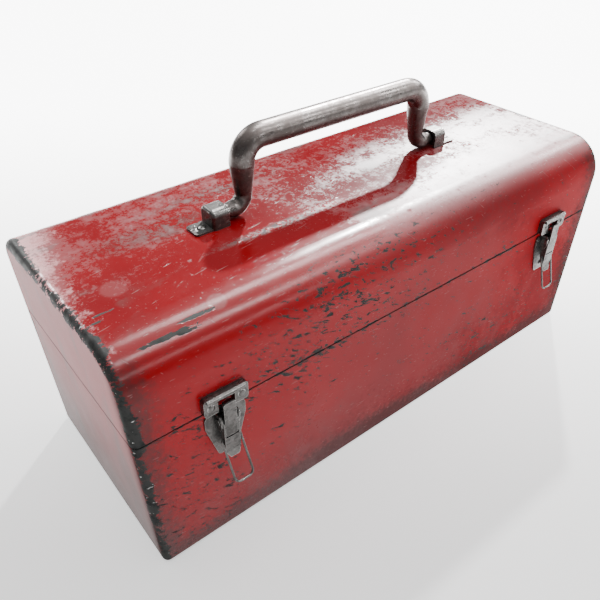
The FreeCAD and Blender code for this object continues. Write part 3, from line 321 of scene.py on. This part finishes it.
class Casing(Finish):           # a finish that knows the regions of the box
    def __init__(self, name, form, **shaderNumbers):
        super().__init__(name, **shaderNumbers)
        self.form = form
        self.toEnd = self.z * form["lean"] + form["endAtFoot"] - self.x.size()
        toFront = self.toRolled(self.y + form["half"], form["frontRoll"])
        toBack = self.toRolled(form["half"] - self.y, form["backRoll"])
        self.toProfile = toFront.least(toBack).least(self.z)
        self.onEnd = self.toEnd.rise(0.0006, 0.0040, 1.0, 0.0)
        self.offEnd = 1.0 - self.onEnd
        self.fromEdge = self.toEnd.most(0.0) + self.toProfile.most(0.0)
        self.fromSeam = (self.z - form["seam"]).size()
        self.onTop = (self.z - form["height"]).rise(-0.0066, -0.0011)
        self.offTop = 1.0 - self.onTop
        self.onFront = (self.y + form["half"]).rise(0.004, 0.018, 1.0, 0.0) * self.offTop
        self.outside = self.toProfile.rise(0.0004, 0.0009, 1.0, 0.0)

    def toRolled(self, outward, radius):           # how far it is to the skin, past a rolled edge too
        across = radius - outward
        up = radius - (self.form["height"] - self.z)
        past = self.length(across.most(0.0), up.most(0.0))
        return radius - (past + across.most(up).least(0.0))

    def mark(self, middle, reach, soft):           # a spot whose height is measured from the lid's top
        x, y, z = middle
        return self.spot((x, y, z + self.form["height"]), reach, soft)


# worn red paint
redPaint = {
    "deep": (0.255, 0.0018, 0.0060),
    "bright": (0.400, 0.0030, 0.0085),
    # darker red for the front face: painted shade
    "frontPaintedShade": (0.060, 0.0020, 0.0026),
    "chalk": (0.40, 0.066, 0.074),       # paint gone pink and dull
    # darker chalk for the front face, partly its own duller haze and partly painted shade
    "frontChalkAndShade": (0.175, 0.022, 0.025),
    "endChalk": (0.385, 0.105, 0.108),   # the ends are paler and greyer
    "paintedEdgeHighlight": (1.00, 0.44, 0.45),    # painted highlight along the worn left edge of the lid
    "ringPale": (0.60, 0.30, 0.30),
    "smear": (0.125, 0.100, 0.092),
    "stain": (0.13, 0.14, 0.135),
    "endFootDirtAndShade": (0.125, 0.096, 0.092),
    # grey for the foot of the ends: partly dirt, partly painted shade near the floor
    "dirt": (0.16, 0.085, 0.085),
    "soot": (0.050, 0.020, 0.020),
    "hair": (0.46, 0.22, 0.215),
    "scrape": (0.21, 0.235, 0.225),
    # darker colour for the band along the seam
    "seamDark": (0.055, 0.035, 0.032),
    "bare": (0.034, 0.035, 0.034),       # dark worn steel
    "darkest": (0.018, 0.019, 0.019),
    # bright steel on the worn edges, partly bared steel and partly painted glints
    "brightSteelAndGlint": (0.55, 0.56, 0.55),
    "edgeWear": 0.0058,                  # width of the bare strip along the end edges
    "gloss": 0.17,
    "dull": 0.44,
    "skinDepth": 0.00022,
    "dentDepth": 0.0016,
}
redNoise = {    # scale, detail, roughness, warp, seed, and for some how far drawn out and how turned
    "cloud": (9.0, 5.0, 0.62, 0.3, 1.0),
    "patch": (26.0, 6.0, 0.66, 0.5, 2.0),
    "speck": (210.0, 6.0, 0.75, 0.2, 3.0),
    "grit": (520.0, 2.0, 0.6, 0.0, 4.0),
    "streak": (60.0, 4.0, 0.62, 0.3, 5.0, 7.0, (0.0, 0.0, 6.0)),
    "tint": (5.0, 3.0, 0.5, 0.0, 6.0),
    "stain": (38.0, 5.0, 0.6, 0.2, 7.0, (1.0, 1.0, 5.0)),
    "dirt": (14.0, 5.0, 0.65, 0.4, 8.0),
    "needles": (800.0, 2.0, 0.5, 0.0, 11.0, 32.0, (0.0, 4.0, 10.0)),
    "crossNeedles": (800.0, 2.0, 0.5, 0.0, 13.0, 26.0, (0.0, 38.0, -42.0)),
    "ragged": (150.0, 6.0, 0.72, 0.4, 21.0),
    "coarse": (24.0, 4.0, 0.6, 0.3, 22.0),
    "flake": (150.0, 7.0, 0.68, 0.6, 23.0, 2.6, (0.0, 12.0, 8.0)),
    "where": (7.0, 3.0, 0.55, 0.0, 24.0),
    "steelTone": (120.0, 4.0, 0.65, 0.2, 25.0),
    "shine": (300.0, 3.0, 0.6, 0.0, 26.0, 3.0),
    "dash": (360.0, 6.0, 0.66, 0.5, 27.0, 3.0, (0.0, 24.0, 8.0)),
    "broken": (330.0, 5.0, 0.65, 0.5, 28.0, 2.0, (0.0, 0.0, 8.0)),
    "splinter": (420.0, 4.0, 0.7, 0.3, 29.0, 2.4),
    "dents": (11.0, 2.0, 0.4, 0.0, 31.0),
}
redMarks = {    # middle, reach and softness; heights are measured from the lid's top
    "clearCorner": ((-0.165, -0.070, -0.0026), (0.110, 0.030, 0.05), 0.5),
    "gleam": ((0.160, -0.020, 0.0), (0.160, 0.045, 0.03), 0.6),
    "gleamGap": ((0.030, -0.016, 0.0), (0.062, 0.020, 0.03), 0.5),
    "clearRoll": ((-0.150, -0.080, -0.0206), (0.130, 0.045, 0.034), 0.5),
    "hazyRoll": ((0.060, -0.075, -0.0126), (0.150, 0.040, 0.026), 0.6),
    "frontRing": ((-0.161, -0.0705, -0.0026), (0.0062, 0.0055, 0.01), 0.2),
    "cornerRing": ((-0.206, -0.0230, 0.0), (0.0085, 0.0085, 0.01), 0.2),
    "bracketSmear": ((-0.150, 0.022, 0.0), (0.040, 0.012, 0.02), 0.8),
    "backSmear": ((-0.090, 0.048, 0.0), (0.050, 0.007, 0.02), 0.8),
    "footChips": ((-0.205, -0.09, -0.1326), (0.050, 0.05, 0.075), 0.6),
    "rollChips": ((-0.060, -0.08, -0.0276), (0.110, 0.05, 0.030), 0.6),
    "seamChips": ((-0.150, -0.09, -0.0676), (0.075, 0.05, 0.030), 0.6),
    "scrape": ((-0.072, -0.025, 0.0), (0.052, 0.0040, 0.01), 0.5),
}
redGouges = [
    ((-0.200, -0.0775, -0.0056), (0.020, 0.0016, 0.010), 0.9),
    ((-0.178, -0.0735, -0.0041), (0.014, 0.0014, 0.010), 0.9),
    ((-0.186, -0.0790, -0.0066), (0.010, 0.0011, 0.010), 0.9),
    ((-0.2240, -0.0420, 0.0), (0.009, 0.0012, 0.010), 0.9),
    ((-0.2270, -0.0480, 0.0), (0.006, 0.0012, 0.010), 0.9),
]


def dullPaint(kit, grain, marks):      # where the paint has gone dull, by part of the box
    mixed = (grain["cloud"] * 0.26 + grain["patch"] * 0.18 + grain["speck"] * 0.34
             + grain["grit"] * 0.08 + grain["streak"] * 0.14)
    topBias = kit.y.rise(-0.03, 0.06, 0.0, 0.026) - marks["clearCorner"] * 0.10 + marks["gleam"] * 0.075
    frontBias = kit.z.rise(0.0, 0.125, 0.065, -0.055) + kit.x.rise(-0.15, 0.20, -0.045, 0.060)
    rollBias = marks["hazyRoll"] * 0.070 - marks["clearRoll"] * 0.10
    chalky = (mixed + topBias * kit.onTop + frontBias * kit.onFront + rollBias - 0.055).rise(0.440, 0.545)
    speck = grain["speck"]
    chalky = (chalky * 0.86 + speck.rise(0.50, 0.66) * 0.14 * chalky.rise(0.0, 0.3)).least(1.0)
    return chalky.most(kit.onEnd * speck.rise(0.30, 0.55, 0.82, 1.0))


def dirtyPaintAndPaintedLight(kit, look, grain, marks, chalky):       # the colour of the paint with all that lies on it, with painted shade on the front and at the foot of the ends, and a painted highlight along the lid's left edge
    red = kit.blend(grain["tint"].rise(0.35, 0.65), look["deep"], look["bright"])
    # painted shade: the red on the front face is drawn darker
    red = kit.blend(kit.onFront * 0.22, red, look["frontPaintedShade"])
    # on the front face the chalk is drawn much darker, partly its own duller haze and partly painted shade
    chalk = kit.blend(kit.onFront, look["chalk"], look["frontChalkAndShade"])
    chalk = kit.blend(kit.onEnd, chalk, look["endChalk"])
    colour = kit.blend(chalky * (kit.onEnd * 0.36 + 0.62 - marks["gleam"] * kit.onTop * 0.52), red, chalk)

    # the left edge of the lid is worn, and a painted highlight lies on it: a near-white ragged strip that
    # thins towards the front
    cloud, patch, speck = grain["cloud"], grain["patch"], grain["speck"]
    strip = kit.x * -1.0 - 0.2405 + kit.y.rise(-0.055, 0.080, 0.004, 0.026)
    rubbedAndSheen = (strip - (speck - 0.5) * 0.075 - (patch - 0.5) * 0.050).rise(-0.004, 0.012) * kit.onTop
    colour = kit.blend(rubbedAndSheen * 0.80, colour, look["paintedEdgeHighlight"])
    rings = marks["frontRing"].most(marks["cornerRing"] * 0.6)
    colour = kit.blend(rings * 0.30, colour, look["ringPale"])

    # grey smears where tools and hands have rubbed
    smear = (patch * 0.5 + grain["streak"] * 0.5).rise(0.515, 0.60) * cloud.rise(0.42, 0.56) * kit.onTop
    smear = smear.most(marks["bracketSmear"].most(marks["backSmear"]) * speck.rise(0.43, 0.53))
    colour = kit.blend(smear * 0.62, colour, look["smear"])

    # stains that run down the ends, dirt on the walls and soot towards the foot and the sides
    colour = kit.blend(grain["stain"].rise(0.50, 0.68) * kit.onEnd * 0.50, colour, look["stain"])
    # the ends turn grey and darker towards the foot, partly dirt and partly painted shade near the floor
    colour = kit.blend(kit.z.rise(0.0, 0.15, 0.90, 0.0) * kit.onEnd, colour, look["endFootDirtAndShade"])
    dirt = grain["dirt"].rise(0.46, 0.70) * kit.z.rise(0.01, 0.10, 1.0, 0.15)
    colour = kit.blend(dirt * kit.offTop * kit.offEnd * 0.42, colour, look["dirt"])
    low = kit.z.rise(0.0, 0.040, 0.40, 0.0).most(kit.toEnd.rise(0.002, 0.040, 0.30, 0.0))
    soot = (low + speck * 0.6 + cloud * 0.4).rise(0.58, 0.82)
    return kit.blend(soot * kit.onFront * 0.75, colour, look["soot"]), rubbedAndSheen


def chippedPaint(kit, look, grain, marks):     # bare steel at the ends, the seam and the foot, and scattered
    ragged, coarse, splinter = (grain[name] - 0.5 for name in ("ragged", "coarse", "splinter"))
    strip = look["edgeWear"] * (1.0 + coarse * 2.6)
    edge = (kit.fromEdge - strip + ragged * 0.0130 + splinter * 0.0110).rise(-0.0004, 0.0004, 1.0, 0.0)
    lip = kit.fromSeam + ragged * 0.008 + splinter * 0.005 + coarse * 0.012 - 0.0005
    lip = lip.rise(-0.0006, 0.0001, 1.0, 0.0) * kit.offEnd
    foot = (kit.z + ragged * 0.013 + coarse * 0.014).rise(0.0030, 0.0038, 1.0, 0.0)
    foot = foot * (1.0 - kit.onEnd * 0.6)
    rough = (marks["footChips"] * 0.045 + marks["rollChips"] * 0.040 + marks["seamChips"] * 0.030
             + kit.fromSeam.rise(0.0, 0.014, 0.034, 0.0))
    flakes = (grain["flake"] * 0.75 + grain["where"] * 0.25 + rough * 0.8).rise(0.612, 0.620)
    dashes = (grain["dash"] * 0.8 + grain["where"] * 0.2 + rough).rise(0.604, 0.614)
    scattered = flakes.most(dashes) * kit.offEnd * (1.0 - kit.onTop * 0.8)
    gouge = kit.mark(*redGouges[0])
    for other in redGouges[1:]:
        gouge = gouge.most(kit.mark(*other))
    gouge = (gouge * 0.5 + grain["broken"]).rise(0.80, 0.84) * kit.outside
    return edge.most(lip).most(foot).most(scattered).most(gouge), edge, ragged


def wornRedPaint(look):
    kit = Casing("wornRedPaint", boxForm, IOR=1.5)
    grain = {name: kit.noise(*numbers) for name, numbers in redNoise.items()}
    marks = {name: kit.mark(*numbers) for name, numbers in redMarks.items()}
    marks["gleam"] = marks["gleam"] * (1.0 - marks["gleamGap"])
    gleam = marks["gleam"] * kit.onTop
    chalky = dullPaint(kit, grain, marks)
    colour, rubbedAndSheen = dirtyPaintAndPaintedLight(kit, look, grain, marks, chalky)
    chipped, edge, ragged = chippedPaint(kit, look, grain, marks)

    hair = (grain["needles"].rise(0.66, 0.72) + grain["crossNeedles"].rise(0.67, 0.73)).least(1.0)
    colour = kit.blend(hair * (0.50 - kit.onFront * 0.22), colour, look["hair"])
    scrape = marks["scrape"] * grain["speck"].rise(0.46, 0.52) * kit.outside
    colour = kit.blend(scrape * 0.75, colour, look["scrape"])
    steel = kit.blend(grain["steelTone"].rise(0.46, 0.66), look["bare"], look["darkest"])
    # bright flecks on the worn edges: partly bared steel, partly painted glints
    steel = kit.blend(grain["shine"].rise(0.64, 0.70) * edge, steel, look["brightSteelAndGlint"])
    colour = kit.blend(chipped, colour, steel)
    unchipped = 1.0 - chipped
    # a thin band along the seam between lid and base is drawn darker
    seamDarkening = (kit.fromSeam + ragged * 0.002).rise(0.0002, 0.0016, 0.65, 0.0) * unchipped
    colour = kit.blend(seamDarkening, colour, look["seamDark"])

    # how strongly each part reflects: most on the right of the lid, least on the right of the walls
    onWalls = kit.offTop * kit.offEnd
    quiet = kit.y.rise(-0.010, 0.045) * kit.x.rise(-0.10, 0.02) * kit.onTop * (1.0 - marks["gleam"])
    level = (chalky * gleam * 1.7 + 0.42 - kit.onTop * 0.20 - quiet * 0.20 - kit.onEnd * 0.16
             - kit.onFront * 0.26 - onWalls * kit.x.rise(-0.14, 0.16, 0.0, 0.14) + rubbedAndSheen * 0.6)
    kit.feed(kit.shader.inputs["Specular IOR Level"], level * (1.0 - chipped * 0.7))
    gloss = (look["gloss"] + chalky * (look["dull"] - look["gloss"] - gleam * 0.08) + grain["grit"] * 0.06
             + grain["patch"].rise(0.4, 0.7) * 0.05 + kit.x.rise(-0.165, 0.010, 0.0, 0.20) * onWalls)
    roughness = gloss * unchipped + chipped * grain["steelTone"].rise(0.3, 0.7, 0.42, 0.62)
    metal = chipped * 0.30 + scrape * 0.20
    height = (unchipped * 0.35 + grain["patch"] * 0.10 + grain["speck"] * 0.10 - hair * 0.18
              - scrape * 0.2)
    dent = kit.bump(grain["dents"], look["dentDepth"])
    return kit.finish(colour, roughness, metal, kit.bump(height, look["skinDepth"], dent))


# tray paint
trayPaint = {
    "red": (0.330, 0.012, 0.011),
    "dull": (0.300, 0.080, 0.075),
    "steel": (0.34, 0.34, 0.33),
    "oil": (0.040, 0.026, 0.022),
    "roughness": (0.24, 0.46),
    "edgeWear": 0.0012,
    "skinDepth": 0.00016,
}
trayNoise = {
    "cloud": (18.0, 5.0, 0.62, 0.3, 1.0),
    "speck": (140.0, 5.0, 0.68, 0.2, 2.0),
    "lines": (600.0, 2.0, 0.5, 0.0, 5.0, 40.0, (0.0, 0.0, 24.0)),
    "drags": (500.0, 2.0, 0.5, 0.0, 7.0, 36.0, (0.0, 0.0, 76.0)),
    "oil": (30.0, 4.0, 0.6, 0.6, 9.0),
}


def scuffedTrayPaint(look):
    kit = Finish("scuffedTrayPaint", IOR=1.5, Specular_IOR_Level=0.2)
    grain = {name: kit.noise(*numbers) for name, numbers in trayNoise.items()}
    cloud, speck = grain["cloud"], grain["speck"]
    colour = kit.blend((cloud * 0.6 + speck * 0.4).rise(0.44, 0.60) * 0.7, look["red"], look["dull"])
    onEdge = kit.onEdges(look["edgeWear"], 0.985, 0.90) * speck.rise(0.40, 0.52)
    scratches = grain["lines"].rise(0.64, 0.69) + grain["drags"].rise(0.64, 0.69)
    worn = (onEdge + scratches * 0.8).least(1.0)
    oil = grain["oil"].rise(0.56, 0.68) * 0.55
    colour = kit.blend(oil, colour, look["oil"])
    colour = kit.blend(worn, colour, look["steel"])
    roughness = cloud.rise(0.3, 0.7, *look["roughness"]) - oil * 0.10
    skin = kit.bump(speck * 0.5 - worn * 0.6, look["skinDepth"])
    return kit.finish(colour, roughness, worn * 0.8, skin)


# bare and plated steel
handleSteel = {
    "pale": (0.130, 0.117, 0.112),
    "brown": (0.078, 0.066, 0.062),
    "dark": (0.024, 0.020, 0.019),
    "roughness": (0.24, 0.42),
    "grain": 70.0,
    "tarnish": (0.45, 0.57),             # where in the noise the brown starts and is full
    "recess": 0.004,                     # how near another surface has to be for the painted shade in the corners
}
platedSteel = {
    "pale": (0.125, 0.120, 0.116),
    "brown": (0.064, 0.061, 0.058),
    "dark": (0.018, 0.018, 0.017),
    "roughness": (0.22, 0.44),
    "grain": 150.0,
    "tarnish": (0.465, 0.585),
    "recess": 0.0035,
}
steelWear = {                   # what both steels share
    "scratch": (0.36, 0.35, 0.34),
    "rubbedAndSheen": (0.50, 0.49, 0.475),
    "edgeWear": 0.0007,
    "skinDepth": 0.00012,
}


def wornSteel(name, look, wear):
    kit = Finish(name, Metallic=1.0)
    grain = look["grain"]
    cloud = kit.noise(grain * 0.35, 5.0, 0.62, 0.4, 1.7)
    speck = kit.noise(grain * 2.4, 5.0, 0.70, 0.2, 12.4)
    pits = kit.noise(grain * 5.0, 3.0, 0.6, 0.0, 23.6)
    scuff = kit.noise(grain * 1.6, 4.0, 0.6, 0.5, 14.0, 3.0).rise(0.60, 0.70)
    lines = kit.noise(grain * 9.0, 2.0, 0.5, 0.0, 6.0, 22.0, (0.0, 20.0, 30.0)).rise(0.64, 0.70)
    tone = cloud * 0.55 + speck * 0.45
    colour = kit.blend(tone.rise(*look["tarnish"]), look["pale"], look["brown"])
    colour = kit.blend(scuff * 0.8, colour, look["dark"])
    colour = kit.blend(pits.rise(0.66, 0.74) * speck.rise(0.50, 0.60) * 0.5, colour, look["dark"])
    colour = kit.blend(lines * 0.35, colour, wear["scratch"])

    # the inner corners get painted shade, the outer ones are rubbed bright
    shut = kit.add("ShaderNodeAmbientOcclusion", samples=6)
    shut.inputs["Distance"].default_value = look["recess"]
    paintedCornerShade = Field(kit, shut.outputs["AO"]).rise(0.25, 0.80, 1.0, 0.0)
    rubbedAndSheen = kit.onEdges(wear["edgeWear"], 0.985, 0.88) * (1.0 - paintedCornerShade)
    # painted shade: darker where another surface is near
    colour = kit.blend(paintedCornerShade * 0.85, colour, look["dark"])
    colour = kit.blend(rubbedAndSheen * 0.6, colour, wear["rubbedAndSheen"])
    roughness = tone.rise(0.40, 0.62, *look["roughness"]) + paintedCornerShade * 0.25 - rubbedAndSheen * 0.08
    height = speck * 0.5 + pits * 0.3 - scuff * 0.2 - lines * 0.2
    return kit.finish(colour, roughness, None, kit.bump(height, wear["skinDepth"]))


slotFinishes = {
    "red_paint": wornRedPaint(redPaint),
    "tray_paint": scuffedTrayPaint(trayPaint),
    "handle_steel": wornSteel("handleSteel", handleSteel, steelWear),
    "plated_steel": wornSteel("platedSteel", platedSteel, steelWear),
}
print("finishes made:", ", ".join(slotFinishes))


# finishes go on the nodes
nodeSlots = {part["node"]: part["material_slot"] for part in frame["record"]["subparts"]}
for nodeName, node in frame["nodes"].items():
    finish = slotFinishes[nodeSlots[nodeName]]
    if not node.material_slots:
        node.data.materials.append(finish)
    for materialSlot in node.material_slots:
        materialSlot.material = finish
print("finishes put on", len(frame["nodes"]), "nodes")
